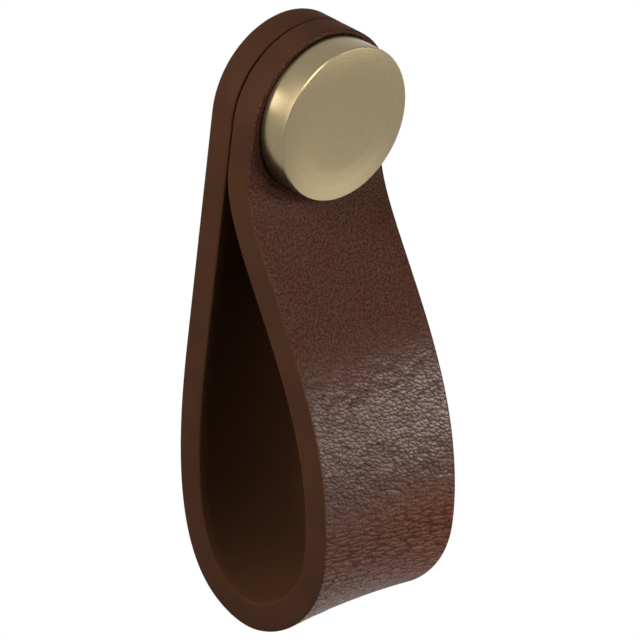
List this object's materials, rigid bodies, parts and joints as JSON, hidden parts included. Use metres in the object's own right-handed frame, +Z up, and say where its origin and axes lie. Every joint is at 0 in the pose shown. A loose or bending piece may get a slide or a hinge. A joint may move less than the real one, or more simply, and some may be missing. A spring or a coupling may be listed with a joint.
{
  "type": "leather strap pull",
  "caption": "Leather strap folded into a hanging loop and held at the top behind a turned round metal knob, as a pull for a door or drawer.",
  "frame": {"origin": "on the axis of the fixing stud, in the plane of the door or drawer face that the strap's back lies on", "axes": "+X across the strap, +Y into the door, so the knob faces -Y, and +Z up, with the loop hanging towards -Z"},
  "size_m": [0.0278, 0.0428, 0.0945],
  "materials": {
    "leather": "dark red-brown full-grain leather with a pebbled face, smooth flesh side and smooth painted edges",
    "brushed_brass": "pale champagne brass, finely brushed, satin lacquer",
    "stud_steel": "plain zinc-plated steel, satin"
  },
  "bodies": {
    "root": {"strap": "leather", "knob": "brushed_brass", "fixing_stud": "stud_steel"}
  },
  "joints": []
}
